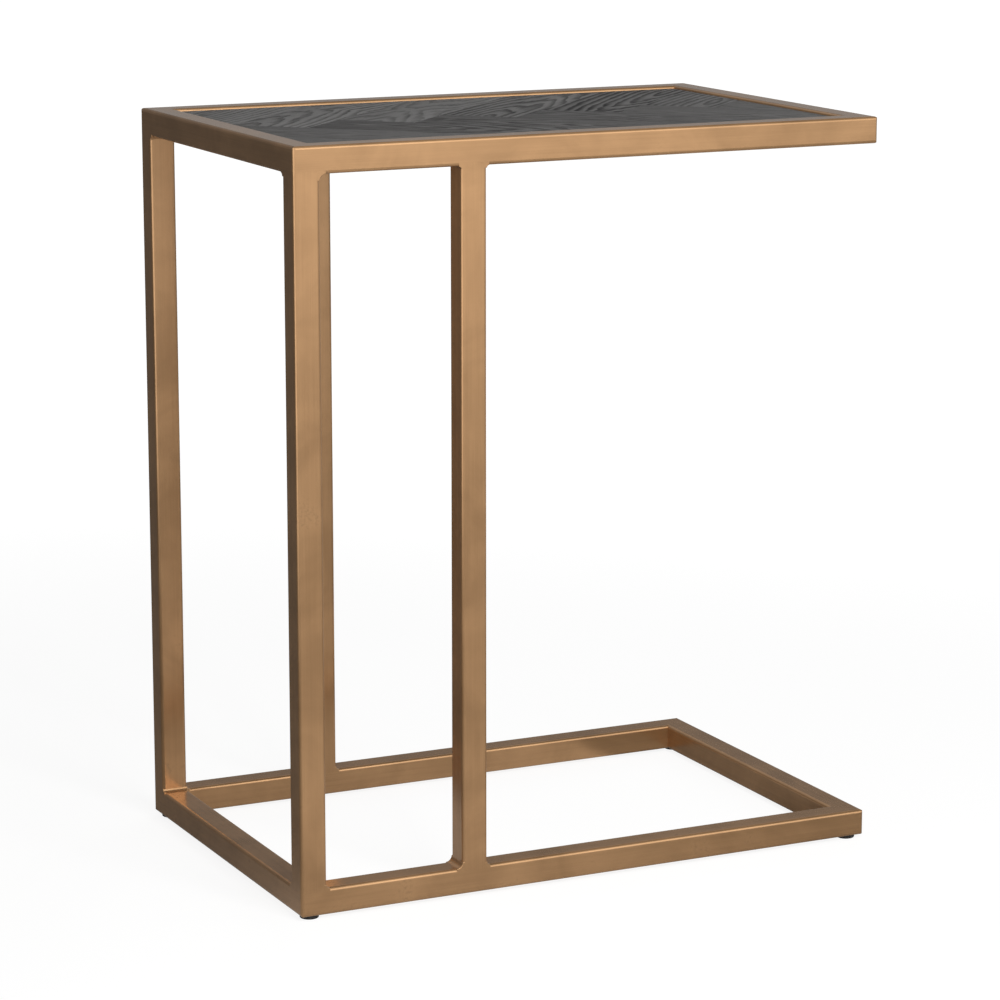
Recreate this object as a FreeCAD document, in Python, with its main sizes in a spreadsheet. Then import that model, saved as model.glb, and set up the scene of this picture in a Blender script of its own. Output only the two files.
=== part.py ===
"""C-shaped sofa table: a welded square-tube frame, a herringbone oak top and screw-in levelling feet.

Millimetres, +Z up. The origin is on the floor, in the middle of the table's outline.
The open side faces +X, the posts stand at -X, and the front is at -Y.
"""

import FreeCAD, Part
import math
import os
import types

import Sketcher

doc = FreeCAD.newDocument("SofaTable")
sheet = doc.addObject("Spreadsheet::Sheet", "Sizes")

# Driving dimensions: name, millimetres, meaning
SIZES = [
    ("table_width", 470, "outer width of the top and base frames, along X"),
    ("table_depth", 300, "outer depth of the top and base frames, along Y"),
    ("frame_height", 555, "underside of the base frame to the top of the top frame"),
    ("foot_height", 3, "floor to the underside of the base frame, feet screwed home"),
    ("tube_side", 20, "side of the square tube"),
    ("tube_wall", 1.5, "wall of the square tube"),
    ("tube_radius", 2.5, "outer edge radius of the tube, also ground on the mitred corners"),
    ("post_gap", 108, "clear gap between a corner post and the middle post beside it"),
    ("cope_depth", 1.3, "how far a post's walls reach over a rail's rounded edge"),
    ("weld_leg", 4, "leg of a fillet weld at a post's end"),
    ("panel_recess", 2, "top of the frame down to the oak surface"),
    ("panel_gap", 0.8, "gap all round the panel"),
    ("core_thick", 10, "thickness of the panel's core board"),
    ("stave_thick", 4, "thickness of the oak staves"),
    ("stave_width", 60, "width of one oak stave with its joint"),
    ("stave_joint", 0.3, "open joint between two staves"),
    ("tab_width", 26, "panel tab along its rail"),
    ("tab_reach", 22, "panel tab from its rail inwards"),
    ("tab_thick", 2, "panel tab's plate"),
    ("tab_corner", 5, "corner radius of a tab's free end"),
    ("tab_spacing", 260, "distance between the two tabs on a long rail"),
    ("tab_hole", 4.2, "screw hole in a tab"),
    ("screw_shank", 3.5, "diameter of a panel screw's shank"),
    ("screw_bite", 7, "length of a panel screw inside the core"),
    ("screw_point", 2.5, "length of the screw's tapered point"),
    ("screw_head", 7.4, "diameter of a panel screw's head"),
    ("screw_dome", 1.8, "height of a panel screw's domed head"),
    ("pilot_fit", 0.05, "radial room round a screw in its pilot hole"),
    ("pilot_spare", 1, "depth of a pilot hole past the screw's point"),
    ("stem_thread", 6, "diameter of a foot's threaded stem"),
    ("stem_fit", 0.06, "radial running clearance of a stem in its nut and its pad"),
    ("stem_reach", 4, "how far a stem stands out above its nut"),
    ("stem_tip", 0.8, "chamfer at the stem's upper end"),
    ("wall_hole", 7, "hole for a stem in the base frame's underside"),
    ("nut_across", 10, "weld nut across its flats"),
    ("nut_rise", 5, "height of a weld nut"),
    ("pad_diameter", 14, "diameter of a foot pad"),
    ("pad_floor", 1.2, "plastic left under the stem's socket in a pad"),
    ("pad_edge", 0.8, "radius of a pad's lower edge"),
    ("pad_clear", 0.3, "room between a pad and the base frame, screwed home"),
]

for row, (alias, value, meaning) in enumerate(SIZES, start=1):
    sheet.set(f"A{row}", meaning)
    sheet.set(f"B{row}", str(value))
    sheet.setAlias(f"B{row}", alias)
doc.recompute()


class Size:
    """A length that keeps both its number and the sheet expression it comes from."""

    def __init__(self, text, number):
        self.text = text
        self.number = float(number)

    def __add__(self, other):
        other = as_size(other)
        return Size(f"({self.text} + {other.text})", self.number + other.number)

    def __sub__(self, other):
        other = as_size(other)
        return Size(f"({self.text} - {other.text})", self.number - other.number)

    def __mul__(self, factor):
        factor = as_size(factor)
        return Size(f"({self.text} * {factor.text})", self.number * factor.number)

    def __truediv__(self, divisor):
        divisor = as_size(divisor)
        return Size(f"({self.text} / {divisor.text})", self.number / divisor.number)

    def __neg__(self):
        return Size(f"(0 - {self.text})", -self.number)


def as_size(value):
    return value if isinstance(value, Size) else Size(f"({value})", value)


size = types.SimpleNamespace(**{alias: Size(f"Sizes.{alias}", value) for alias, value, _ in SIZES})
nothing = as_size(0)

# Places that several pieces share
left = -size.table_width / 2
right = size.table_width / 2
front = -size.table_depth / 2
back = size.table_depth / 2
base_under = size.foot_height
base_over = base_under + size.tube_side
frame_over = base_under + size.frame_height
top_under = frame_over - size.tube_side
stave_under = frame_over - size.panel_recess - size.stave_thick
core_under = stave_under - size.core_thick
tab_under = core_under - size.tab_thick
inset = size.tube_side + size.panel_gap


def place(item, x, y, z, rotation=None):
    """Puts an item at a point, turned by a rotation."""
    if rotation is not None:
        item.Placement = FreeCAD.Placement(FreeCAD.Vector(), rotation)
    for axis, value in zip("xyz", (x, y, z)):
        item.setExpression(f"Placement.Base.{axis}", value.text)


def turn(degrees, axis=(0, 0, 1)):
    return FreeCAD.Rotation(FreeCAD.Vector(*axis), degrees)


def way(degrees):
    """The whole-number direction of a quarter turn in plan."""
    angle = math.radians(degrees)
    return round(math.cos(angle)), round(math.sin(angle))


# Sketches
def new_body(label):
    body = doc.addObject("PartDesign::Body", label)
    body.Label = label
    return body


def new_sketch(body, role):
    sketch = body.newObject("Sketcher::SketchObject", f"{body.Name}_sketch")
    plane = next(item for item in body.Origin.OriginFeatures if item.Role == role)
    sketch.AttachmentSupport = (plane, [""])
    sketch.MapMode = "FlatFace"
    return sketch


def pin(sketch, edge, end, x, y=None):
    """Fixes a point of an edge in the sketch, or its x alone; a zero lies on the sketch's axis."""
    for kind, axis, value in (("DistanceX", -2, x), ("DistanceY", -1, y)):
        if value is None:
            continue
        if abs(value.number) < 1e-9:
            sketch.addConstraint(Sketcher.Constraint("PointOnObject", edge, end, axis))
            continue
        points = (-1, 1, edge, end)
        if value.number < 0:
            value = -value
            points = (edge, end, -1, 1)
        index = sketch.addConstraint(Sketcher.Constraint(kind, *points, value.number))
        sketch.setExpression(f"Constraints[{index}]", value.text)


def spot(x, y):
    return FreeCAD.Vector(x.number, y.number, 0)


def drawn_ends(sketch, edge, start):
    """The point numbers of an edge's start and end as drawn, since an arc is kept counter-clockwise."""
    return (1, 2) if sketch.Geometry[edge].StartPoint.isEqual(start, 1e-6) else (2, 1)


def outline(sketch, points):
    """A closed outline through sketch points. A third item is the x of the arc's centre on the way there."""
    at = [spot(*point[:2]) for point in points]
    first = sketch.GeometryCount
    for index, point in enumerate(points):
        if len(point) == 2:
            sketch.addGeometry(Part.LineSegment(at[index - 1], at[index]))
        else:
            sketch.addGeometry(arc_between(at[index - 1], at[index], point[2].number))
    ends = [drawn_ends(sketch, first + index, at[index - 1]) for index in range(len(points))]
    for index, point in enumerate(points):
        edge = first + index
        start, end = ends[index]
        before = first + (index - 1) % len(points)
        sketch.addConstraint(Sketcher.Constraint("Coincident", before, ends[index - 1][1], edge, start))
        pin(sketch, edge, end, *point[:2])
        if len(point) == 3:
            pin(sketch, edge, 3, point[2])


def arc_between(start, end, centre_x):
    """The short arc between two points round a centre with a given x, drawn counter-clockwise."""
    gap = (centre_x - end.x) ** 2 - (centre_x - start.x) ** 2 + end.y**2 - start.y**2
    centre = FreeCAD.Vector(centre_x, gap / (2 * (end.y - start.y)), 0)
    if (start - centre).cross(end - centre).z < 0:
        start, end = end, start
    outwards = ((start + end) * 0.5 - centre).normalize()
    return Part.Arc(start, centre + outwards * (start - centre).Length, end)


def rectangle(sketch, x0, y0, x1, y1):
    outline(sketch, [(x0, y0), (x1, y0), (x1, y1), (x0, y1)])


def circle(sketch, x, y, radius):
    edge = sketch.addGeometry(Part.Circle(spot(x, y), FreeCAD.Vector(0, 0, 1), radius.number))
    pin(sketch, edge, 3, x, y)
    index = sketch.addConstraint(Sketcher.Constraint("Radius", edge, radius.number))
    sketch.setExpression(f"Constraints[{index}]", radius.text)


# Features
def pad(body, sketch, length):
    feature = body.newObject("PartDesign::Pad", f"{body.Name}_pad")
    feature.Profile = sketch
    feature.setExpression("Length", length.text)
    doc.recompute()
    return feature


def pocket(body, sketch, depth=None):
    """Cuts from the sketch along its normal, through everything where no depth is given."""
    before = body.Shape.Volume
    feature = body.newObject("PartDesign::Pocket", f"{body.Name}_pocket")
    feature.Profile = sketch
    feature.Reversed = True
    if depth is None:
        feature.Type = "ThroughAll"
    else:
        feature.setExpression("Length", depth.text)
    doc.recompute()
    if feature.Shape.isNull() or feature.Shape.Volume > before - 1e-6:
        raise RuntimeError(f"a pocket in {body.Label} cut nothing")


def revolve(body, sketch):
    feature = body.newObject("PartDesign::Revolution", f"{body.Name}_revolution")
    feature.Profile = sketch
    feature.ReferenceAxis = (sketch, ["V_Axis"])
    feature.Angle = 360
    doc.recompute()


def fillet(body, base, radius, wanted):
    """Rounds the edges of a feature whose middle point and direction pass a test."""
    names = []
    for number, edge in enumerate(base.Shape.Edges, start=1):
        middle = edge.valueAt((edge.FirstParameter + edge.LastParameter) / 2)
        if wanted(middle, edge.tangentAt(edge.FirstParameter)):
            names.append(f"Edge{number}")
    feature = body.newObject("PartDesign::Fillet", f"{body.Name}_fillet")
    feature.Base = (base, names)
    feature.setExpression("Radius", radius.text)
    doc.recompute()


def group(label, items):
    compound = doc.addObject("Part::Compound", label)
    compound.Label = label
    compound.Links = items
    doc.recompute()
    return compound


# Square tube, drawn in the corner of a plane and padded along its normal
def square_tube(body, role, length, along):
    sketch = new_sketch(body, role)
    rectangle(sketch, nothing, nothing, size.tube_side, size.tube_side)
    bar = pad(body, sketch, length)
    fillet(body, bar, size.tube_radius, lambda middle, tangent: abs(tangent.dot(along)) > 0.99)
    bore = new_sketch(body, role)
    far_wall = size.tube_side - size.tube_wall
    rectangle(bore, size.tube_wall, size.tube_wall, far_wall, far_wall)
    pocket(body, bore)


# Rails, mitred at both ends. A rail's own frame: X along it from its left end,
# Y from its outer side inwards, Z up from its underside.
corner_share = 1 - math.cos(math.radians(45))


def mitre(body, length):
    """Cuts both ends at 45 degrees and rounds the sharp outer corners that the mitres leave."""
    radius = size.tube_radius
    past = size.tube_side + size.tube_wall
    outside = -size.tube_wall
    on_mitre = radius * corner_share
    for from_end in (lambda x: x, lambda x: length - x):
        sketch = new_sketch(body, "XY_Plane")
        outline(
            sketch,
            [
                (from_end(outside), outside),
                (from_end(radius), outside),
                (from_end(radius), nothing),
                (from_end(on_mitre), on_mitre, from_end(radius)),
                (from_end(past), past),
                (from_end(outside), past),
            ],
        )
        pocket(body, sketch)


def rail(label, length, x, y, z, degrees, foot_holes):
    body = new_body(label)
    square_tube(body, "YZ_Plane", length, FreeCAD.Vector(1, 0, 0))
    mitre(body, length)
    if foot_holes:
        holes = new_sketch(body, "XY_Plane")
        middle = size.tube_side / 2
        for hole_x in (middle, length - middle):
            circle(holes, hole_x, middle, size.wall_hole / 2)
        pocket(body, holes, size.tube_wall * 2)
    place(body, x, y, z, turn(degrees))
    return body


def mitred_frame(name, z, foot_holes):
    """Four rails round the table's outline."""
    sides = [
        ("front", size.table_width, left, front, 0),
        ("right", size.table_depth, right, front, 90),
        ("back", size.table_width, right, back, 180),
        ("left", size.table_depth, left, back, 270),
    ]
    return {
        side: rail(f"{name}_{side}_rail", length, x, y, z, degrees, foot_holes)
        for side, length, x, y, degrees in sides
    }


top_frame = mitred_frame("top", top_under, foot_holes=False)
base_frame = mitred_frame("base", base_under, foot_holes=True)


# Posts, butted between the two frames. Each end is coped over the rails' rounded edges,
# so that the ground joint is flush on the outside.
middle_x = left + size.tube_side + size.post_gap
back_y = back - size.tube_side
posts = [
    # label, nearest corner in plan, rails it meets, sides that are welded
    ("front_corner_post", left, front, ("front", "left"), (0, 90)),
    ("front_middle_post", middle_x, front, ("front",), (0, 180)),
    ("back_corner_post", left, back_y, ("back", "left"), (0, 270)),
    ("back_middle_post", middle_x, back_y, ("back",), (0, 180)),
]


def post(label, x, y, rails):
    blank = new_body(f"{label}_blank")
    length = top_under - base_over + size.cope_depth * 2
    square_tube(blank, "XY_Plane", length, FreeCAD.Vector(0, 0, 1))
    place(blank, x, y, base_over - size.cope_depth)
    coped = doc.addObject("Part::Cut", label)
    coped.Label = label
    coped.Base = blank
    coped.Tool = group(f"{label}_rails", [frame[side] for frame in (top_frame, base_frame) for side in rails])


for label, x, y, rails, _ in posts:
    post(label, x, y, rails)


# Fillet welds in the inner corners between posts and rails
def weld_bead(label, x, y, z, degrees, turned_over):
    """A hollow-faced fillet across the tube's flat, with one leg on the rail and one on the post."""
    body = new_body(label)
    sketch = new_sketch(body, "XZ_Plane")
    leg = size.weld_leg
    outline(sketch, [(nothing, nothing), (leg, nothing), (nothing, leg, leg * 1.4)])
    length = size.tube_side - size.tube_radius * 2
    pad(body, sketch, length)
    # the pad runs along -Y of its own frame, or along +Y once it is turned over
    out_x, out_y = way(degrees)
    half_tube = size.tube_side / 2
    half_length = length / (-2 if turned_over else 2)
    bead_x = x + half_tube + half_tube * out_x - half_length * out_y
    bead_y = y + half_tube + half_tube * out_y + half_length * out_x
    over = turn(180 if turned_over else 0, (1, 0, 0))
    place(body, bead_x, bead_y, z, turn(degrees).multiply(over))
    return body


def weld_group(label, z, turned_over):
    group(
        label,
        [
            weld_bead(f"{label}_{post_label}_{degrees}", x, y, z, degrees, turned_over)
            for post_label, x, y, _, sides in posts
            for degrees in sides
        ],
    )


weld_group("top_post_welds", top_under, turned_over=True)
weld_group("base_post_welds", base_over, turned_over=False)


# Panel tabs, welded by their roots to the top rails' inner faces
tabs = [
    # label, middle of the root, direction that the tab's Y axis is turned by
    ("front_left_tab", -size.tab_spacing / 2, front + size.tube_side, 0),
    ("front_right_tab", size.tab_spacing / 2, front + size.tube_side, 0),
    ("right_tab", right - size.tube_side, nothing, 90),
    ("back_right_tab", size.tab_spacing / 2, back - size.tube_side, 180),
    ("back_left_tab", -size.tab_spacing / 2, back - size.tube_side, 180),
    ("left_tab", left + size.tube_side, nothing, 270),
]
screw_out = size.tab_reach / 2


def tab(label, x, y, degrees):
    body = new_body(label)
    sketch = new_sketch(body, "XY_Plane")
    rectangle(sketch, -size.tab_width / 2, nothing, size.tab_width / 2, size.tab_reach)
    plate = pad(body, sketch, size.tab_thick)
    free_end = size.tab_reach.number
    fillet(
        body,
        plate,
        size.tab_corner,
        lambda middle, tangent: abs(tangent.z) > 0.99 and abs(middle.y - free_end) < 1e-6,
    )
    hole = new_sketch(body, "XY_Plane")
    circle(hole, nothing, screw_out, size.tab_hole / 2)
    pocket(body, hole)
    place(body, x, y, tab_under, turn(degrees))


for label, x, y, degrees in tabs:
    tab(label, x, y, degrees)


def screw_spot(x, y, degrees):
    """Where a tab's screw stands in plan."""
    across, inwards = way(degrees)
    return x - screw_out * inwards, y + screw_out * across


# Panel: a core board with blind pilot holes over the tabs, and pan-head screws from below
def panel_core(label):
    body = new_body(label)
    sketch = new_sketch(body, "XY_Plane")
    rectangle(sketch, left + inset, front + inset, right - inset, back - inset)
    pad(body, sketch, size.core_thick)
    pilots = new_sketch(body, "XY_Plane")
    for _, x, y, degrees in tabs:
        circle(pilots, *screw_spot(x, y, degrees), size.screw_shank / 2 + size.pilot_fit)
    pocket(body, pilots, size.screw_bite + size.pilot_spare)
    place(body, nothing, nothing, core_under)


def panel_screw(label, x, y):
    """A wood screw with its domed head under the tab and its point up in the core."""
    body = new_body(label)
    sketch = new_sketch(body, "XZ_Plane")
    shank = size.screw_shank / 2
    head = size.screw_head / 2
    tip = size.tab_thick + size.screw_bite
    outline(
        sketch,
        [
            (nothing, tip),
            (nothing, -size.screw_dome),
            (head, nothing, nothing),
            (shank, nothing),
            (shank, tip - size.screw_point),
        ],
    )
    revolve(body, sketch)
    place(body, x, y, tab_under)
    return body


panel_core("panel_core")
group(
    "panel_screws",
    [panel_screw(f"screw_{label}", *screw_spot(x, y, degrees)) for label, x, y, degrees in tabs],
)


# Herringbone staves on the core. In a frame turned by 45 degrees they lie square: along u in the
# front row and along v in the back row, each a stave's width further than the last on both axes.
def panel_outline(label):
    board = doc.addObject("Part::Box", label)
    board.setExpression("Length", (size.table_width - inset * 2).text)
    board.setExpression("Width", (size.table_depth - inset * 2).text)
    board.setExpression("Height", size.stave_thick.text)
    place(board, left + inset, front + inset, stave_under)
    doc.recompute()
    return board


def stave(label, u, v, length, width, board):
    """One stave trimmed to the panel, or None where it misses the panel."""
    blank = doc.addObject("Part::Box", f"{label}_blank")
    blank.setExpression("Length", (length - size.stave_joint).text)
    blank.setExpression("Width", (width - size.stave_joint).text)
    blank.setExpression("Height", size.stave_thick.text)
    u = u + size.stave_joint / 2
    v = v + size.stave_joint / 2
    slant = math.sqrt(0.5)
    half_seam = size.stave_width / 2
    place(blank, (u + v) * slant, (v - u - half_seam) * slant, stave_under, turn(-45))
    doc.recompute()
    smallest = size.stave_joint.number * size.stave_width.number
    if blank.Shape.common(board.Shape).Volume < smallest:
        doc.removeObject(blank.Name)
        return None
    trimmed = doc.addObject("Part::Common", label)
    trimmed.Base = blank
    trimmed.Tool = board
    return trimmed


def herringbone():
    board = panel_outline("panel_outline")
    half_diagonal = math.hypot(size.table_width.number, size.table_depth.number) / 2
    steps = math.ceil(half_diagonal / size.stave_width.number)
    # Long enough to run from the zigzag seam, at 45 degrees, past the panel's edge
    stave_length = (size.table_depth / 2 - size.tube_side) * math.sqrt(2) + size.stave_width
    rows = {"front_staves": [], "back_staves": []}
    for step in range(-steps, steps + 1):
        corner = size.stave_width * step
        mark = step + steps
        rows["front_staves"].append(
            stave(f"front_stave_{mark}", corner, corner, stave_length, size.stave_width, board)
        )
        rows["back_staves"].append(
            stave(f"back_stave_{mark}", corner, corner + size.stave_width, size.stave_width, stave_length, board)
        )
    for label, found in rows.items():
        group(label, [item for item in found if item is not None])


herringbone()


# Levelling feet: a nut welded inside each base corner, a threaded stem and a plastic pad
corners = [
    ("front_left", left + size.tube_side / 2, front + size.tube_side / 2),
    ("front_right", right - size.tube_side / 2, front + size.tube_side / 2),
    ("back_right", right - size.tube_side / 2, back - size.tube_side / 2),
    ("back_left", left + size.tube_side / 2, back - size.tube_side / 2),
]
nut_under = base_under + size.tube_wall
pad_over = base_under - size.pad_clear
thread_bore = size.stem_thread / 2 + size.stem_fit


def weld_nut(label, x, y):
    hexagon = doc.addObject("Part::Prism", f"{label}_hexagon")
    hexagon.Polygon = 6
    hexagon.setExpression("Circumradius", (size.nut_across / math.sqrt(3)).text)
    hexagon.setExpression("Height", size.nut_rise.text)
    thread = doc.addObject("Part::Cylinder", f"{label}_thread")
    thread.setExpression("Radius", thread_bore.text)
    thread.setExpression("Height", size.nut_rise.text)
    nut = doc.addObject("Part::Cut", label)
    nut.Base = hexagon
    nut.Tool = thread
    place(nut, x, y, nut_under)
    return nut


def foot_stem(label, x, y):
    """A threaded rod that stands on the floor of its pad's socket and passes through the nut."""
    body = new_body(label)
    sketch = new_sketch(body, "XZ_Plane")
    radius = size.stem_thread / 2
    over = nut_under + size.nut_rise + size.stem_reach
    outline(
        sketch,
        [
            (nothing, size.pad_floor),
            (radius, size.pad_floor),
            (radius, over - size.stem_tip),
            (radius - size.stem_tip, over),
            (nothing, over),
        ],
    )
    revolve(body, sketch)
    place(body, x, y, nothing)


def foot_pad(label, x, y):
    """A round glide with a rounded lower edge and a socket for its stem."""
    body = new_body(label)
    sketch = new_sketch(body, "XZ_Plane")
    rim = size.pad_diameter / 2
    edge = size.pad_edge
    outline(
        sketch,
        [
            (nothing, size.pad_floor),
            (nothing, nothing),
            (rim - edge, nothing),
            (rim, edge, rim - edge),
            (rim, pad_over),
            (thread_bore, pad_over),
            (thread_bore, size.pad_floor),
        ],
    )
    revolve(body, sketch)
    place(body, x, y, nothing)


group("foot_nuts", [weld_nut(f"nut_{corner}", x, y) for corner, x, y in corners])
for corner, x, y in corners:
    foot_stem(f"{corner}_foot_stem", x, y)
    foot_pad(f"{corner}_foot_pad", x, y)

doc.recompute()


# Checks and export
sides = ("front", "right", "back", "left")
nodes = [f"{frame}_{side}_rail" for frame in ("top", "base") for side in sides]
nodes += [label for label, *_ in posts]
nodes += ["top_post_welds", "base_post_welds"]
nodes += [label for label, *_ in tabs]
nodes += ["panel_core", "panel_screws", "front_staves", "back_staves", "foot_nuts"]
nodes += [f"{corner}_foot_{piece}" for corner, *_ in corners for piece in ("stem", "pad")]

for item in doc.Objects:
    if "Invalid" in item.State or "Error" in item.State:
        raise RuntimeError(f"{item.Label} failed: {item.State}")

os.makedirs("parts", exist_ok=True)
for label in nodes:
    shape = next(item for item in doc.Objects if item.Label == label).Shape
    if shape.isNull() or not shape.isValid() or not shape.Solids:
        raise RuntimeError(f"{label} has no valid solid")
    shape.exportStep(f"parts/{label}.step")
print(f"{len(nodes)} sub-parts written")
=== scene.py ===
import math

import bmesh
import bpy
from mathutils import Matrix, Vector


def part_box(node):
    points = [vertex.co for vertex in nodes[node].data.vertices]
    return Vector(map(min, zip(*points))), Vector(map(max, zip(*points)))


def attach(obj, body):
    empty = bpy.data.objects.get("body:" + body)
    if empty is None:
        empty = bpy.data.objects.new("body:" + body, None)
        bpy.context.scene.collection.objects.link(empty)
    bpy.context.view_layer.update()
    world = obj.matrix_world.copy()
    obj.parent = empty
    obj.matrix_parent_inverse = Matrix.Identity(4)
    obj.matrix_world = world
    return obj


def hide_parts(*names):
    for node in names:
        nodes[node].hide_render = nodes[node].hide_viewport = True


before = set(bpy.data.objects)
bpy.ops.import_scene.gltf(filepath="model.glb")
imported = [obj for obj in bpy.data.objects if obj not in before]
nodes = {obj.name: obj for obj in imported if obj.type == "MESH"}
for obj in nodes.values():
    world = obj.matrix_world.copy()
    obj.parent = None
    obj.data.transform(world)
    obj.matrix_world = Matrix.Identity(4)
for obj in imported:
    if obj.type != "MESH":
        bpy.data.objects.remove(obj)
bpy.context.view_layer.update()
print("frame loaded:", len(nodes), "nodes")


def named(sockets, key):
    return next(s for s in sockets if key in (s.identifier, s.name) and s.enabled)


# shader maths: a wire is one output socket, and python operators add the nodes
class Wire:
    def __init__(self, tree, socket=None):
        self.tree = tree
        self.socket = socket

    def node(self, kind, settings=None, sockets=None, out=0):  # several outputs: a tuple of names
        made = self.tree.nodes.new(kind)
        for key, value in (settings or {}).items():
            setattr(made, key, value)
        for key, value in (sockets or {}).items():
            self.feed(named(made.inputs, key), value)
        if isinstance(out, tuple):
            return [Wire(self.tree, named(made.outputs, key)) for key in out]
        if isinstance(out, str):
            return Wire(self.tree, named(made.outputs, out))
        return Wire(self.tree, made.outputs[out]) if made.outputs else None

    def feed(self, target, value):
        if isinstance(value, (Wire, list)):
            for wire in value if isinstance(value, list) else [value]:
                self.tree.links.new(wire.socket, target)
        else:
            target.default_value = value

    def maths(self, operation, first, second=None):
        sockets = {"Value": first}
        if second is not None:
            sockets["Value_001"] = second
        return self.node("ShaderNodeMath", {"operation": operation}, sockets)

    def __add__(self, other):
        return self.maths("ADD", self, other)

    def __sub__(self, other):
        return self.maths("SUBTRACT", self, other)

    def __rsub__(self, other):
        return self.maths("SUBTRACT", other, self)

    def __mul__(self, other):
        return self.maths("MULTIPLY", self, other)

    def __truediv__(self, other):
        return self.maths("DIVIDE", self, other)

    __radd__ = __add__
    __rmul__ = __mul__

    def smooth(self, low, high):  # 0 below low, 1 above high
        return self.node(
            "ShaderNodeMapRange",
            {"interpolation_type": "SMOOTHSTEP"},
            {"Value": self, "From Min": low, "From Max": high},
        )

    def mix(self, first, second):  # two colours, this wire is the factor
        sockets = {"Factor_Float": self, "A_Color": first, "B_Color": second}
        return self.node("ShaderNodeMix", {"data_type": "RGBA"}, sockets, "Result_Color")

    def axes(self):  # the x, y and z of a vector
        return self.node("ShaderNodeSeparateXYZ", {}, {"Vector": self}, ("X", "Y", "Z"))


def rgba(r, g, b):
    return (r, g, b, 1.0)


def newFinish(name):
    finish = bpy.data.materials.new(name)
    finish.use_nodes = True
    finish.node_tree.nodes.clear()
    wire = Wire(finish.node_tree)
    return finish, wire, wire.node("ShaderNodeTexCoord", out="Object")


def closeFinish(wire, sockets):
    shader = wire.node("ShaderNodeBsdfPrincipled", {}, sockets)
    wire.node("ShaderNodeOutputMaterial", {}, {"Surface": shader})


def stretch(wire, place, scale):
    sockets = {"Vector": place, "Scale": scale}
    return wire.node("ShaderNodeMapping", {"vector_type": "POINT"}, sockets)


def noise(wire, vector, scale=1.0, detail=2.0, rough=0.5, distortion=0.0):
    sockets = {"Vector": vector, "Scale": scale, "Detail": detail}
    sockets.update({"Roughness": rough, "Distortion": distortion})
    return wire.node("ShaderNodeTexNoise", {}, sockets)


def raised(wire, height, look):
    sockets = {"Strength": look["relief"], "Distance": look["reliefDepth"], "Height": height}
    return wire.node("ShaderNodeBump", {}, sockets, "Normal")


# brushed antique bronze, brushed along the tube
bronze = {
    "light": rgba(0.60, 0.345, 0.165),
    "deep": rgba(0.43, 0.242, 0.112),
    "patina": rgba(0.22, 0.13, 0.068),
    "brushScale": 1500.0,
    "alongScale": 14.0,
    "streakScale": 0.16,  # of the brush marks' own scale
    "cloudScale": 17.0,
    "speckScale": 420.0,
    "brushTone": 0.30,
    "streakTone": 0.22,
    "cloudTone": 0.85,
    "toneRange": (0.42, 0.92),
    "cloudWear": 0.7,
    "speckWear": 0.5,
    "wearRange": (0.70, 0.86),
    "wearShare": 0.35,
    "roughness": 0.10,
    "brushRoughness": 0.10,
    "cloudRoughness": 0.06,
    "metallic": 0.60,
    "coat": 0.10,
    "coatRoughness": 0.30,
    "streakHeight": 0.5,
    "relief": 0.10,
    "reliefDepth": 0.0002,
}


def bronzeFinish(axis):
    finish, wire, place = newFinish("bronzeBrushed" + axis.upper())
    scale = [bronze["brushScale"]] * 3
    scale["xyz".index(axis)] = bronze["alongScale"]
    long = [s * bronze["streakScale"] for s in scale]
    brush = noise(wire, stretch(wire, place, tuple(scale)), detail=3.0, rough=0.6)
    streak = noise(wire, stretch(wire, place, tuple(long)))
    cloud = noise(wire, place, bronze["cloudScale"], detail=4.0, rough=0.55, distortion=0.6)
    speck = noise(wire, place, bronze["speckScale"], detail=3.0, rough=0.6)
    tone = brush * bronze["brushTone"] + streak * bronze["streakTone"]
    tone = tone + cloud * bronze["cloudTone"]
    body = tone.smooth(*bronze["toneRange"]).mix(bronze["deep"], bronze["light"])
    worn = cloud * bronze["cloudWear"] + speck * bronze["speckWear"]
    worn = worn.smooth(*bronze["wearRange"]) * bronze["wearShare"]
    rough = bronze["roughness"] + brush * bronze["brushRoughness"]
    sockets = {
        "Base Color": worn.mix(body, bronze["patina"]),
        "Roughness": rough + cloud * bronze["cloudRoughness"],
        "Metallic": bronze["metallic"],
        "Coat Weight": bronze["coat"],
        "Coat Roughness": bronze["coatRoughness"],
        "Normal": raised(wire, brush + streak * bronze["streakHeight"], bronze),
    }
    closeFinish(wire, sockets)
    return finish


# charcoal-stained brushed oak; a stave's figure comes from its place across the row
oak = {
    "pore": rgba(0.006, 0.006, 0.006),
    "dark": rgba(0.014, 0.0135, 0.0135),
    "staveWidth": 0.060,
    "heartShift": 0.04,  # how far the middle of the rings wanders across a stave
    "logLength": 0.9,  # staves start at different places along the log
    "logDepth": 3.0,
    "ringGap": 0.0064,
    "archLength": 0.28,
    "archMiddle": 0.10,
    "rise": 0.17,
    "sway": 0.026,
    "swayMiddle": 0.010,
    "wobble": 0.0022,
    "swayScale": (9.0, 38.0, 1.0),
    "wobbleScale": (60.0, 260.0, 1.0),
    "patchScale": (16.0, 48.0, 1.0),
    "poreScale": (70.0, 2600.0, 1.0),
    "fibreScale": (26.0, 900.0, 1.0),
    "earlyStart": (0.20, 0.80),
    "earlyEnd": (0.86, 1.0),
    "earlyLeast": 0.55,
    "earlySway": 0.75,
    "earlyChance": 0.9,
    "tone": 0.80,
    "fibreTone": 0.75,
    "staveTone": 0.36,
    "wobbleTone": 0.35,
    "poreRange": (0.55, 0.72),
    "poreShare": 0.40,
    "earlyPores": 0.6,
    "roughness": 0.52,
    "earlyRoughness": 0.25,
    "fibreRoughness": 0.10,
    "specular": 0.35,
    "fibreHeight": 0.35,
    "poreHeight": 0.6,
    "relief": 0.55,
    "reliefDepth": 0.0006,
}
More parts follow.
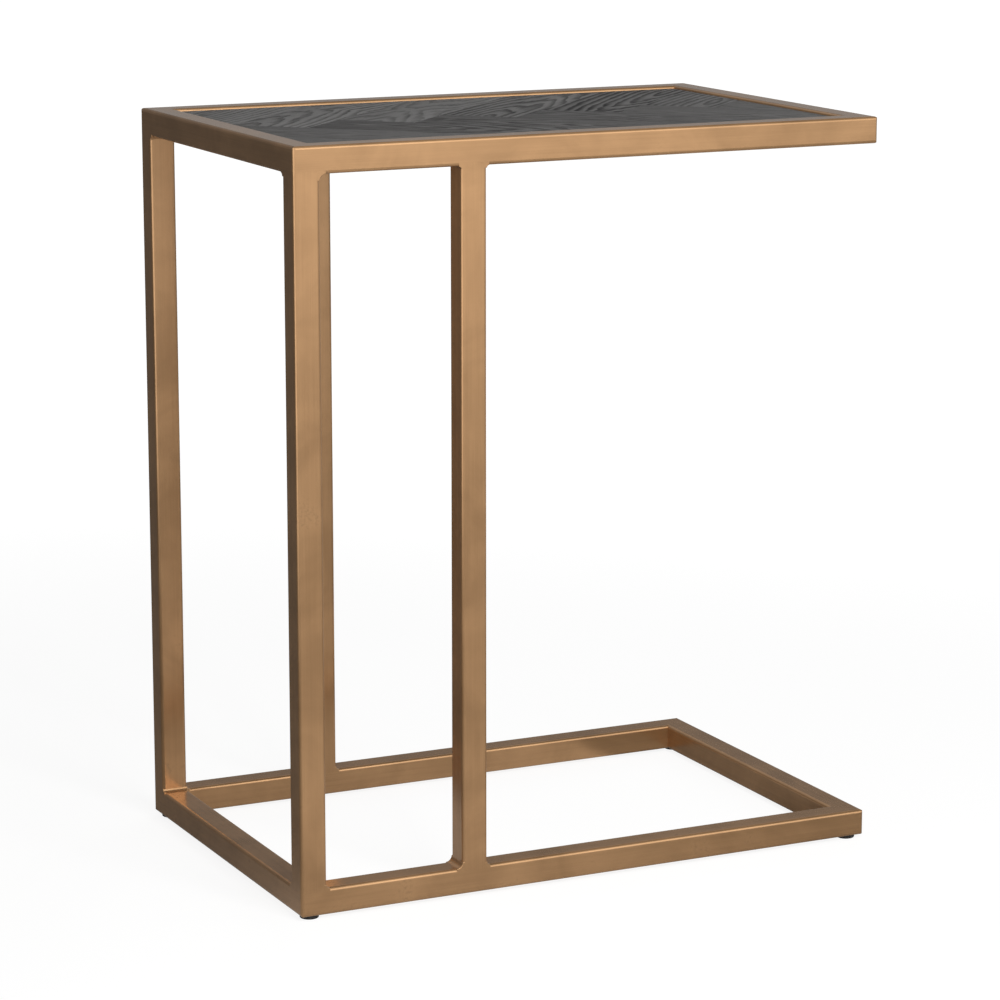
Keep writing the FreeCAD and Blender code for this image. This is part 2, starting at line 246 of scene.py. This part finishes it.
# painted sheen: the back row's light tone is brighter than the front row's, standing in for the
# sheen that the two grain directions catch; both rows are one stain
oakRows = {
    "back": {
        "light": rgba(0.226, 0.222, 0.218),
        "ring": 0.34,
        "patch": 0.45,
        "seeds": (7.3, 91.7),
    },
    "front": {
        "light": rgba(0.156, 0.152, 0.149),
        "ring": 0.30,
        "patch": 0.20,
        "seeds": (41.9, 13.1),
    },
}


def drawn(wire, number):  # a random value for each whole number
    settings = {"noise_dimensions": "1D"}
    return wire.node("ShaderNodeTexWhiteNoise", settings, {"W": number}, "Value")


def oakFinish(row):
    look = oakRows[row]
    finish, wire, place = newFinish("oak" + row.capitalize() + "Row")
    slant = math.sqrt(0.5)
    x, y, _ = place.axes()
    y = y + oak["staveWidth"] * slant / 2
    u, v = (x - y) * slant, (x + y) * slant
    along, across = (v, u) if row == "back" else (u, v)
    count = wire.maths("FLOOR", across / oak["staveWidth"])
    chance, other = (drawn(wire, count + seed) for seed in look["seeds"])
    inStave = across - (count + 0.5) * oak["staveWidth"] + (other - 0.5) * oak["heartShift"]
    length = along + chance * oak["logLength"]
    sockets = {"X": length, "Y": across, "Z": chance * oak["logDepth"]}
    flat = wire.node("ShaderNodeCombineXYZ", {}, sockets)
    sway = noise(wire, stretch(wire, flat, oak["swayScale"]), detail=3.0)
    wobble = noise(wire, stretch(wire, flat, oak["wobbleScale"]))
    patch = noise(wire, stretch(wire, flat, oak["patchScale"]), detail=3.0, rough=0.55)
    pores = noise(wire, stretch(wire, flat, oak["poreScale"]), rough=0.6)
    pores = pores.smooth(*oak["poreRange"])
    fibre = noise(wire, stretch(wire, flat, oak["fibreScale"]), detail=3.0, rough=0.6)
    # growth rings cut at a slant: nested arches down the middle of the stave
    arch = wire.maths("PINGPONG", length, oak["archLength"]) - oak["archMiddle"]
    rise = arch * oak["rise"] + sway * oak["sway"] - oak["swayMiddle"]
    ring = wire.maths("SQRT", inStave * inStave + rise * rise) + wobble * oak["wobble"]
    phase = wire.maths("FRACT", ring / oak["ringGap"])
    early = phase.smooth(*oak["earlyStart"]) * (1 - phase.smooth(*oak["earlyEnd"]))
    early = early * (oak["earlyLeast"] + sway * oak["earlySway"])
    early = early * (oak["earlyLeast"] + chance * oak["earlyChance"])
    tone = oak["tone"] - early * look["ring"] + (fibre - 0.5) * oak["fibreTone"]
    tone = tone + (other - 0.5) * oak["staveTone"] + (patch - 0.5) * look["patch"]
    tone = tone + (wobble - 0.5) * oak["wobbleTone"]
    # look["light"] holds each row's painted sheen as well as the oak's own tone
    body = tone.smooth(0.0, 1.0).mix(oak["dark"], look["light"])
    filled = pores * (oak["poreShare"] + early * oak["earlyPores"])
    rough = oak["roughness"] + early * oak["earlyRoughness"] + fibre * oak["fibreRoughness"]
    height = fibre * oak["fibreHeight"] - early - pores * oak["poreHeight"]
    sockets = {
        "Base Color": filled.mix(body, oak["pore"]),
        "Roughness": rough,
        "Specular IOR Level": oak["specular"],
        "Normal": raised(wire, height, oak),
    }
    closeFinish(wire, sockets)
    return finish


coreBoard = {
    "dark": rgba(0.010, 0.010, 0.010),
    "light": rgba(0.042, 0.040, 0.038),
    "fibreScale": 900.0,
    "flakeScale": (160.0, 160.0, 500.0),
    "fibreTone": 0.6,
    "flakeTone": 0.4,
    "roughness": 0.62,
    "fibreRoughness": 0.2,
    "relief": 0.2,
    "reliefDepth": 0.0002,
}


def coreFinish():
    finish, wire, place = newFinish("coreBoardBlack")
    fibre = noise(wire, place, coreBoard["fibreScale"], detail=4.0, rough=0.7)
    flake = noise(wire, stretch(wire, place, coreBoard["flakeScale"]), detail=3.0, rough=0.6)
    tone = fibre * coreBoard["fibreTone"] + flake * coreBoard["flakeTone"]
    sockets = {
        "Base Color": tone.mix(coreBoard["dark"], coreBoard["light"]),
        "Roughness": coreBoard["roughness"] + fibre * coreBoard["fibreRoughness"],
        "Normal": raised(wire, fibre, coreBoard),
    }
    closeFinish(wire, sockets)
    return finish


zincPlate = {
    "dull": rgba(0.42, 0.43, 0.44),
    "bright": rgba(0.62, 0.63, 0.63),
    "cloudScale": 260.0,
    "cloudRange": (0.3, 0.7),
    "fineScale": 2600.0,
    "roughness": 0.24,
    "fineRoughness": 0.18,
    "metallic": 1.0,
}


def zincFinish():
    finish, wire, place = newFinish("zincPlate")
    cloud = noise(wire, place, zincPlate["cloudScale"], detail=3.0)
    cloud = cloud.smooth(*zincPlate["cloudRange"])
    fine = noise(wire, place, zincPlate["fineScale"], rough=0.6)
    sockets = {
        "Base Color": cloud.mix(zincPlate["dull"], zincPlate["bright"]),
        "Roughness": zincPlate["roughness"] + fine * zincPlate["fineRoughness"],
        "Metallic": zincPlate["metallic"],
    }
    closeFinish(wire, sockets)
    return finish


footPlastic = {
    "dark": rgba(0.018, 0.017, 0.016),
    "light": rgba(0.036, 0.034, 0.031),
    "grainScale": 1800.0,
    "roughness": 0.46,
    "grainRoughness": 0.16,
    "relief": 0.25,
    "reliefDepth": 0.0001,
}


def plasticFinish():
    finish, wire, place = newFinish("footPlasticBlack")
    grain = noise(wire, place, footPlastic["grainScale"], rough=0.6)
    sockets = {
        "Base Color": grain.mix(footPlastic["dark"], footPlastic["light"]),
        "Roughness": footPlastic["roughness"] + grain * footPlastic["grainRoughness"],
        "Normal": raised(wire, grain, footPlastic),
    }
    closeFinish(wire, sockets)
    return finish


finishes = {
    "x": bronzeFinish("x"),
    "y": bronzeFinish("y"),
    "z": bronzeFinish("z"),
    "backStaves": oakFinish("back"),
    "frontStaves": oakFinish("front"),
    "core": coreFinish(),
    "zinc": zincFinish(),
    "plastic": plasticFinish(),
}
print("finishes made:", len(finishes))


def finishFor(name):
    if name.endswith("_rail"):
        return finishes["x" if "_front_" in name or "_back_" in name else "y"]
    if name.endswith("_post"):
        return finishes["z"]
    if name.endswith(("_tab", "_welds")):
        return finishes["x"]
    if name.endswith("_staves"):
        return finishes["backStaves" if name.startswith("back") else "frontStaves"]
    if name == "panel_core":
        return finishes["core"]
    return finishes["plastic" if name.endswith("_pad") else "zinc"]


for name, node in nodes.items():
    node.data.materials.clear()
    node.data.materials.append(finishFor(name))
print("cad nodes painted")


# geometry node trees: named sizes go in, a realized mesh with its finish comes out
def newTree(name, sizes):
    tree = bpy.data.node_groups.new(name, "GeometryNodeTree")
    tree.interface.new_socket("Geometry", in_out="INPUT", socket_type="NodeSocketGeometry")
    for label in sizes:
        tree.interface.new_socket(label, in_out="INPUT", socket_type="NodeSocketFloat")
    tree.interface.new_socket("Finish", in_out="INPUT", socket_type="NodeSocketMaterial")
    tree.interface.new_socket("Geometry", in_out="OUTPUT", socket_type="NodeSocketGeometry")
    wire, labels = Wire(tree), ("Geometry", *sizes, "Finish")
    return wire, dict(zip(labels, wire.node("NodeGroupInput", out=labels)))


def closeTree(wire, geometry, finish):
    real = wire.node("GeometryNodeRealizeInstances", {}, {"Geometry": geometry})
    painted = wire.node("GeometryNodeSetMaterial", {}, {"Geometry": real, "Material": finish})
    wire.node("NodeGroupOutput", {}, {"Geometry": painted})


def vector(wire, x=0.0, y=0.0, z=0.0):
    return wire.node("ShaderNodeCombineXYZ", {}, {"X": x, "Y": y, "Z": z})


def block(wire, x, y, z):
    return wire.node("GeometryNodeMeshCube", {}, {"Size": vector(wire, x, y, z)}, "Mesh")


def rod(wire, sides, radius, length):
    sockets = {"Vertices": sides, "Radius": radius, "Depth": length}
    return wire.node("GeometryNodeMeshCylinder", {}, sockets, "Mesh")


def cut(wire, whole, away):
    sockets = {"Mesh 1": whole, "Mesh 2": away}
    return wire.node("GeometryNodeMeshBoolean", {"operation": "DIFFERENCE"}, sockets, "Mesh")


def swept(wire, path, section):
    sockets = {"Curve": path, "Profile Curve": section, "Fill Caps": True}
    return wire.node("GeometryNodeCurveToMesh", {}, sockets)


def moved(wire, geometry, place, rotation=(0, 0, 0), scale=(1, 1, 1)):
    sockets = {"Geometry": geometry, "Translation": place, "Rotation": rotation, "Scale": scale}
    return wire.node("GeometryNodeTransform", {}, sockets)


def stamped(wire, points, geometry):  # one copy on each point, turned by the point's own angles
    settings = {"data_type": "FLOAT_VECTOR"}
    turn = wire.node("GeometryNodeInputNamedAttribute", settings, {"Name": "turn"}, "Attribute")
    sockets = {"Points": points, "Instance": geometry, "Rotation": turn}
    return wire.node("GeometryNodeInstanceOnPoints", {}, sockets)


def grow(name, tree, points, turns, values):
    mesh = bpy.data.meshes.new(name + "Points")
    mesh.from_pydata(points, [], [])
    turned = mesh.attributes.new("turn", "FLOAT_VECTOR", "POINT")
    for item, turn in zip(turned.data, turns):
        item.vector = turn
    holder = bpy.data.objects.new(name, mesh)
    bpy.context.scene.collection.objects.link(holder)
    modifier = holder.modifiers.new("tree", "NODES")
    modifier.node_group = tree
    for socket in tree.interface.items_tree:
        if socket.in_out == "INPUT" and socket.name in values:
            modifier[socket.identifier] = values[socket.name]
    seen = holder.evaluated_get(bpy.context.evaluated_depsgraph_get())
    made = bpy.data.meshes.new_from_object(seen)
    made.name = name
    holder.modifiers.remove(modifier)
    holder.data = made
    return holder


def smoothed(piece, degrees):
    piece.data.shade_smooth()
    piece.data.set_sharp_from_angle(angle=math.radians(degrees))


def fit(piece, body, slot, *replaced):
    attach(piece, body)
    if replaced:
        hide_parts(*replaced)


# welds ground flush with the tubes, which leaves a rounded inner corner
weld = {
    "wide": 0.0048,
    "middle": 0.0018,
    "small": 0.0024,
    "root": 0.0026,
    "depth": 0.01999,  # a hair less than the tube, whose faces stay outermost
    "edge": 0.0016,
    "edgeSteps": 3,
    "edgeAngle": 50,
    "drumSides": 64,
    "drumLength": 1.5,  # of the depth, so that it cuts right through
    "seam": 0.0050,
    "seamCorner": 0.0025,
    "seamSteps": 6,
    "shadeAngle": 40,
}
tubeHalf = 0.010
railLevels = {"top": (0.538, 0.0), "base": (0.023, math.pi)}  # the rail's face, the bead's turn
postSpots = {
    "frontCorner": (-0.225, -0.140),
    "frontMiddle": (-0.097, -0.140),
    "backCorner": (-0.225, 0.140),
    "backMiddle": (-0.097, 0.140),
}
weldSides = [  # post, the side's direction, bead under the top rail, bead on the base rail
    ("frontCorner", 0, "wide", "small"),
    ("frontCorner", 90, "small", "small"),
    ("frontMiddle", 0, "middle", "small"),
    ("frontMiddle", 180, "middle", "wide"),
    ("backCorner", 0, "wide", "small"),
    ("backCorner", 270, "small", "small"),
    ("backMiddle", 0, "middle", "small"),
    ("backMiddle", 180, "middle", "wide"),
]


def weldTree():
    wire, given = newTree("groundWeld", ["Leg", "Root", "Depth"])
    leg, root, depth = given["Leg"], given["Root"], given["Depth"]
    side = leg + root
    middle = side * 0.5 - root
    bead = moved(wire, block(wire, side, depth, side), vector(wire, middle, 0.0, -1 * middle))
    drum = rod(wire, weld["drumSides"], leg, depth * weld["drumLength"])
    drum = moved(wire, drum, vector(wire, leg, 0.0, -1 * leg), (math.pi / 2, 0, 0))
    bead = cut(wire, bead, drum)
    closeTree(wire, stamped(wire, given["Geometry"], bead), given["Finish"])
    return wire.tree


def seamTree():  # the ground seam right round a post's end
    wire, given = newTree("groundSeam", ["Side", "Corner", "Rise"])
    sockets = {"Width": given["Side"], "Height": given["Side"]}
    square = wire.node("GeometryNodeCurvePrimitiveQuadrilateral", {}, sockets)
    sockets = {"Curve": square, "Count": weld["seamSteps"], "Radius": given["Corner"]}
    section = wire.node("GeometryNodeFilletCurve", {"mode": "POLY"}, sockets)
    half = given["Rise"] * 0.5
    ends = {"Start": vector(wire, 0.0, 0.0, -1 * half), "End": vector(wire, 0.0, 0.0, half)}
    seam = swept(wire, wire.node("GeometryNodeCurvePrimitiveLine", {}, ends), section)
    closeTree(wire, stamped(wire, given["Geometry"], seam), given["Finish"])
    return wire.tree


def addBeads(row, leg, tree):
    level, flip = railLevels[row]
    points, turns = [], []
    for post, degrees, topLeg, baseLeg in weldSides:
        if leg == (topLeg if row == "top" else baseLeg):
            x, y = postSpots[post]
            yaw = math.radians(degrees)
            points.append((x + tubeHalf * math.cos(yaw), y + tubeHalf * math.sin(yaw), level))
            turns.append((flip, 0.0, yaw))
    if not points:
        return
    values = {"Leg": weld[leg], "Root": weld["root"], "Depth": weld["depth"]}
    values["Finish"] = finishes["z"]
    piece = grow(row + leg.capitalize() + "Welds", tree, points, turns, values)
    edge = piece.modifiers.new("edge", "BEVEL")
    edge.width = weld["edge"]
    edge.segments = weld["edgeSteps"]
    edge.limit_method = "ANGLE"
    edge.angle_limit = math.radians(weld["edgeAngle"])
    smoothed(piece, weld["shadeAngle"])
    fit(piece, "frame", "bronze")


def addSeams(row, tree):
    level = railLevels[row][0]
    points = [(x, y, level) for x, y in postSpots.values()]
    values = {"Side": weld["depth"], "Corner": weld["seamCorner"], "Rise": weld["seam"]}
    values["Finish"] = finishes["z"]
    seam = grow(row + "GroundSeams", tree, points, [(0, 0, 0)] * len(points), values)
    smoothed(seam, weld["shadeAngle"])
    fit(seam, "frame", "bronze", row + "_post_welds")


def addWelds():
    beads, seams = weldTree(), seamTree()
    for row in railLevels:
        for leg in ("wide", "middle", "small"):
            addBeads(row, leg, beads)
        addSeams(row, seams)


# pan-head screws under the panel, each with a cross recess
screw = {
    "head": 0.0037,
    "dome": 0.0018,
    "domeSides": 40,
    "domeRings": 24,
    "slotLong": 0.0044,
    "slotWide": 0.0009,
    "slotDeep": 1.2,  # of the dome's height, and half of that cuts in
    "shank": 0.00175,
    "shankSides": 24,
    "bite": 0.0088,
    "level": 0.540,
    "firstTurn": 0.55,
    "nextTurn": 0.9,
    "shadeAngle": 35,
}
screwSpots = [
    (-0.130, -0.119),
    (0.130, -0.119),
    (0.204, 0.0),
    (0.130, 0.119),
    (-0.130, 0.119),
    (-0.204, 0.0),
]


def screwTree():
    sizes = ["Head", "Dome", "Slot Long", "Slot Wide", "Shank", "Bite"]
    wire, given = newTree("crossScrew", sizes)
    head, dome, bite = given["Head"], given["Dome"], given["Bite"]
    sockets = {"Segments": screw["domeSides"], "Rings": screw["domeRings"], "Radius": 1.0}
    ball = wire.node("GeometryNodeMeshUVSphere", {}, sockets, "Mesh")
    ball = moved(wire, ball, (0, 0, 0), scale=vector(wire, head, head, dome))
    long, wide, deep = given["Slot Long"], given["Slot Wide"], dome * screw["slotDeep"]
    low = vector(wire, 0.0, 0.0, dome * -1.0)
    slots = [block(wire, long, wide, deep), block(wire, wide, long, deep)]
    crossed = cut(wire, ball, [moved(wire, slot, low) for slot in slots])
    shank = rod(wire, screw["shankSides"], given["Shank"], bite)
    shank = moved(wire, shank, vector(wire, 0.0, 0.0, bite * 0.5))
    whole = wire.node("GeometryNodeJoinGeometry", {}, {"Geometry": [crossed, shank]})
    closeTree(wire, stamped(wire, given["Geometry"], whole), given["Finish"])
    return wire.tree


def addScrews():
    points = [(x, y, screw["level"]) for x, y in screwSpots]
    turns = [(0.0, 0.0, screw["firstTurn"] + screw["nextTurn"] * n) for n in range(len(points))]
    values = {"Head": screw["head"], "Dome": screw["dome"], "Slot Long": screw["slotLong"]}
    values.update({"Slot Wide": screw["slotWide"], "Shank": screw["shank"]})
    values.update({"Bite": screw["bite"], "Finish": finishes["zinc"]})
    piece = grow("panelCrossScrews", screwTree(), points, turns, values)
    smoothed(piece, screw["shadeAngle"])
    fit(piece, "frame", "zinc_steel", "panel_screws")


# threaded stems: a rod with a helical ridge, one millimetre a turn
stem = {
    "core": 0.00262,
    "coreSides": 48,
    "ridge": 0.00036,
    "ridgeSides": 6,
    "pitch": 0.001,
    "turnSteps": 40,
    "shadeAngle": 50,
}
stemSpots = {
    "front_left": (-0.225, -0.140),
    "front_right": (0.225, -0.140),
    "back_right": (0.225, 0.140),
    "back_left": (-0.225, 0.140),
}


def stemTree():
    wire, given = newTree("threadedStem", ["Core", "Ridge", "Pitch", "Height"])
    core, ridge, height = given["Core"], given["Ridge"], given["Height"]
    shaft = rod(wire, stem["coreSides"], core, height)
    shaft = moved(wire, shaft, vector(wire, 0.0, 0.0, height * 0.5))
    run = height - ridge * 4  # the ridge stops short of both ends
    sockets = {"Resolution": stem["turnSteps"], "Rotations": run / given["Pitch"]}
    sockets.update({"Start Radius": core, "End Radius": core, "Height": run})
    path = wire.node("GeometryNodeCurveSpiral", {}, sockets)
    sockets = {"Resolution": stem["ridgeSides"], "Radius": ridge}
    section = wire.node("GeometryNodeCurvePrimitiveCircle", {}, sockets, "Curve")
    thread = moved(wire, swept(wire, path, section), vector(wire, 0.0, 0.0, ridge * 2))
    whole = wire.node("GeometryNodeJoinGeometry", {}, {"Geometry": [shaft, thread]})
    closeTree(wire, stamped(wire, given["Geometry"], whole), given["Finish"])
    return wire.tree


def addStems():
    tree = stemTree()
    for corner, (x, y) in stemSpots.items():
        low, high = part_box(corner + "_foot_stem")
        values = {"Core": stem["core"], "Ridge": stem["ridge"], "Pitch": stem["pitch"]}
        values.update({"Height": high[2] - low[2], "Finish": finishes["zinc"]})
        points, turns = [(x, y, low[2])], [(0.0, 0.0, 0.0)]
        piece = grow(corner + "ThreadedStem", tree, points, turns, values)
        smoothed(piece, stem["shadeAngle"])
        fit(piece, corner + "_foot", "zinc_steel", corner + "_foot_stem")


# oak staves with eased edges
stave = {
    "ease": 0.0005,
    "segments": 2,
    "profile": 0.5,
    "mergeGap": 1e-6,
    "flatAngle": 0.01,
    "levelGap": 1e-5,
    "rimAngle": 0.5,
    "shadeAngle": 30,
}


def onRim(edge, top):
    level = all(abs(v.co.z - top) < stave["levelGap"] for v in edge.verts)
    return level and edge.calc_face_angle(0) > stave["rimAngle"]


def easeEdges(mesh):
    shape = bmesh.new()
    shape.from_mesh(mesh)
    bmesh.ops.remove_doubles(shape, verts=shape.verts, dist=stave["mergeGap"])
    flat = stave["flatAngle"]
    bmesh.ops.dissolve_limit(shape, angle_limit=flat, verts=shape.verts, edges=shape.edges)
    top = max(v.co.z for v in shape.verts)
    bmesh.ops.bevel(
        shape,
        geom=[edge for edge in shape.edges if onRim(edge, top)],
        offset=stave["ease"],
        segments=stave["segments"],
        profile=stave["profile"],
        affect="EDGES",
    )
    shape.to_mesh(mesh)
    shape.free()


def addStaves():
    for row in ("front", "back"):
        node = nodes[row + "_staves"]
        mesh = node.data.copy()
        mesh.name = row + "StavesEased"
        mesh.transform(node.matrix_world)
        easeEdges(mesh)
        piece = bpy.data.objects.new(row + "StavesEased", mesh)
        bpy.context.scene.collection.objects.link(piece)
        mesh.materials.clear()
        mesh.materials.append(finishes[row + "Staves"])
        smoothed(piece, stave["shadeAngle"])
        fit(piece, "frame", "oak", row + "_staves")


addWelds()
addScrews()
addStems()
addStaves()
print("welds, screws, stems and staves made")


# camera at the photograph's viewing angle
view = {
    "place": (-1.18934, -2.44655, 0.83175),
    "yaw": -0.45109,
    "pitch": 0.20702,
    "focalPixels": 3621.28,
    "framePixels": 1000.0,
    "sensor": 36.0,
    "clipEnd": 100.0,
}


def addCamera():
    data = bpy.data.cameras.new("photoCamera")
    data.sensor_width = view["sensor"]
    data.lens = view["focalPixels"] * view["sensor"] / view["framePixels"]
    data.clip_end = view["clipEnd"]
    camera = bpy.data.objects.new("photoCamera", data)
    camera.location = view["place"]
    camera.rotation_euler = (math.pi / 2 - view["pitch"], 0.0, view["yaw"])
    bpy.context.scene.collection.objects.link(camera)
    bpy.context.scene.camera = camera


addCamera()


def rayKinds(wire):  # rays that see the background, and rays that the metal mirrors
    rays = ("Is Camera Ray", "Is Transmission Ray", "Is Glossy Ray")
    camera, through, glossy = wire.node("ShaderNodeLightPath", out=rays)
    return wire.maths("MAXIMUM", camera, through), glossy


# white studio: floor and sky are white to the camera, and what the metal mirrors of them has
# brighter and dimmer zones; pairs say where a zone starts and is full, and turns its direction
floorLook = {
    "half": 30.0,
    "matt": rgba(0.7, 0.7, 0.7),
    "glow": 1.23,
    "farGlow": 0.17,
    "farRange": (0.5, 2.2),
    "glowShare": 0.72,  # the rest is matt and takes the shadow
}
floorZones = {
    "plain": 0.50,
    "aheadRange": (2.0, 2.68),
    "aheadGain": 0.58,
    "insideFront": (0.0, 0.12),
    "insideBack": (0.13, 0.16),
    "insideLeft": (-0.235, -0.20),
    "insideGain": 0.2,
    "openTurn": 0.4855,
    "openRange": (-0.15, 0.35),
    "openLoss": 0.22,
    "dimTurn": 0.75,
    "dimRange": (-0.22, 0.40),
    "dimInside": 0.5,
    "dimLoss": 0.76,
    "nearStart": (0.02, 0.14),
    "nearEnd": (0.25, 0.90),
    "nearGain": 0.32,
    "nearOpen": (-0.25, 0.10),
    "nearLoss": 0.72,
    "stripLeft": (0.15, 0.175),
    "stripRight": (0.22, 0.24),
    "stripFront": (-0.16, -0.10),
    "stripLoss": 0.7,
    "sideTurn": (-0.9, 0.43),
    "sideRange": (0.84, 0.97),
    "sideReach": (0.4, 2.6),
    "sideGlow": 1.8,
}


# brighter far in front and out to the left, weaker towards the open side, dim behind on the left
def floorShine(wire, x, y, reach):
    zone = floorZones
    ahead = y * -1.0
    opening = x + y * zone["openTurn"]
    inside = (1 - ahead.smooth(*zone["insideFront"])) * (1 - y.smooth(*zone["insideBack"]))
    inside = inside * x.smooth(*zone["insideLeft"])
    dim = (y * zone["dimTurn"] - x).smooth(*zone["dimRange"]) * (1 - inside * zone["dimInside"])
    shine = zone["plain"] + ahead.smooth(*zone["aheadRange"]) * zone["aheadGain"]
    shine = shine * (1 - opening.smooth(*zone["openRange"]) * (1 - inside) * zone["openLoss"])
    shine = shine * (1 - dim * zone["dimLoss"])
    near = ahead.smooth(*zone["nearStart"]) * (1 - ahead.smooth(*zone["nearEnd"]))
    gain = zone["nearGain"] - opening.smooth(*zone["nearOpen"]) * zone["nearLoss"]
    strip = x.smooth(*zone["stripLeft"]) * (1 - x.smooth(*zone["stripRight"]))
    strip = strip * y.smooth(*zone["stripFront"])
    shine = shine * (1 + near * gain) * (1 - strip * zone["stripLoss"])
    shine = shine * (1 + inside * zone["insideGain"])
    turnX, turnY = zone["sideTurn"]
    side = ((x * turnX - y * turnY) / reach).smooth(*zone["sideRange"])
    side = side * reach.smooth(*zone["sideReach"]) * zone["sideGlow"]
    return wire.maths("MAXIMUM", shine, side)


def floorFinish():
    finish, wire, place = newFinish("floorWhite")
    x, y, _ = place.axes()
    reach = wire.maths("SQRT", x * x + y * y)
    seen, glossy = rayKinds(wire)
    white = floorLook["glow"] + reach.smooth(*floorLook["farRange"]) * floorLook["farGlow"]
    bright = seen * white + glossy * floorShine(wire, x, y, reach)
    glow = wire.node("ShaderNodeEmission", {}, {"Color": bright})
    matt = wire.node("ShaderNodeBsdfDiffuse", {}, {"Color": floorLook["matt"]})
    lit = wire.maths("MAXIMUM", seen * floorLook["glowShare"], glossy)
    sockets = {"Fac": lit, "Shader": matt, "Shader_001": glow}
    surface = wire.node("ShaderNodeMixShader", {}, sockets)
    clear = wire.node("ShaderNodeBsdfTransparent")  # seen from below
    under = wire.node("ShaderNodeNewGeometry", out="Backfacing")
    sockets = {"Fac": under, "Shader": surface, "Shader_001": clear}
    both = wire.node("ShaderNodeMixShader", {}, sockets)
    wire.node("ShaderNodeOutputMaterial", {}, {"Surface": both})
    return finish


def addFloor():
    half = floorLook["half"]
    corners = [(-half, -half, 0), (half, -half, 0), (half, half, 0), (-half, half, 0)]
    mesh = bpy.data.meshes.new("studioFloor")
    mesh.from_pydata(corners, [], [(0, 1, 2, 3)])
    mesh.materials.append(floorFinish())
    floor = bpy.data.objects.new("studioFloor", mesh)
    bpy.context.scene.collection.objects.link(floor)


# the sky that the metal mirrors: dim behind and overhead, brightest above the front
sky = {
    "fill": 0.20,
    "plain": 0.98,
    "behindTurn": 0.4,
    "behindRange": (-0.25, 0.45),
    "behindLoss": 0.82,
    "behindHigh": (0.35, 0.60),
    "behindEase": 0.65,
    "aheadTurn": (0.62, 0.78),
    "aheadRange": (0.72, 0.98),
    "aheadGlow": 1.6,
    "overheadStart": (0.45, 0.80),
    "overheadEnd": (0.90, 0.97),
    "overheadLoss": 0.85,
    "backdropTurn": (0.90, 0.436),
    "backdropRange": (0.80, 0.96),
    "backdropEnd": (0.09, 0.32),
    "backdropGlow": 0.16,
}


def skyShine(x, y, z):
    behind = (y - x * sky["behindTurn"]).smooth(*sky["behindRange"])
    behind = behind * (1 - z.smooth(*sky["behindHigh"]) * sky["behindEase"])
    turnZ, turnY = sky["aheadTurn"]
    ahead = (z * turnZ - y * turnY).smooth(*sky["aheadRange"])
    overhead = z.smooth(*sky["overheadStart"]) * (1 - z.smooth(*sky["overheadEnd"]))
    turnY, turnX = sky["backdropTurn"]
    backdrop = (y * turnY + x * turnX).smooth(*sky["backdropRange"])
    backdrop = backdrop * (1 - z.smooth(*sky["backdropEnd"]))
    shine = (sky["plain"] - behind * sky["behindLoss"]) * (1 - overhead * sky["overheadLoss"])
    return shine + ahead * sky["aheadGlow"] + backdrop * sky["backdropGlow"]


def addSky():
    world = bpy.data.worlds.new("studioSky")
    bpy.context.scene.world = world
    world.use_nodes = True
    world.node_tree.nodes.clear()
    wire = Wire(world.node_tree)
    direction = wire.node("ShaderNodeTexCoord", out="Generated")
    seen, glossy = rayKinds(wire)
    rest = 1 - wire.maths("MAXIMUM", seen, glossy)
    strength = seen + glossy * skyShine(*direction.axes()) + rest * sky["fill"]
    sockets = {"Color": rgba(1, 1, 1), "Strength": strength}
    light = wire.node("ShaderNodeBackground", {}, sockets)
    wire.node("ShaderNodeOutputWorld", {}, {"Surface": light})


lamps = {
    "softboxFront": {
        "place": (-0.05, -1.15, 0.95),
        "target": (0.0, -0.10, 0.33),
        "size": (0.6, 0.6),
        "power": 11.0,
    },
    "softboxBack": {
        "place": (1.30, 1.50, 0.90),
        "target": (0.0, 0.1, 0.30),
        "size": (1.2, 1.0),
        "power": 7.0,
    },
    "softboxAbove": {
        "place": (0.10, 0.10, 2.40),
        "target": (0.0, 0.0, 0.30),
        "size": (1.6, 1.6),
        "power": 1.8,
    },
}


def addLamps():
    for name, look in lamps.items():
        data = bpy.data.lights.new(name, "AREA")
        data.shape = "RECTANGLE"
        data.size, data.size_y = look["size"]
        data.energy = look["power"]
        lamp = bpy.data.objects.new(name, data)
        lamp.location = look["place"]
        aim = Vector(look["target"]) - Vector(look["place"])
        lamp.rotation_euler = aim.to_track_quat("-Z", "Y").to_euler()
        lamp.visible_camera = False
        lamp.visible_glossy = False
        bpy.context.scene.collection.objects.link(lamp)


addFloor()
addSky()
addLamps()

bpy.context.scene.view_settings.view_transform = "Standard"
print("studio and camera set")
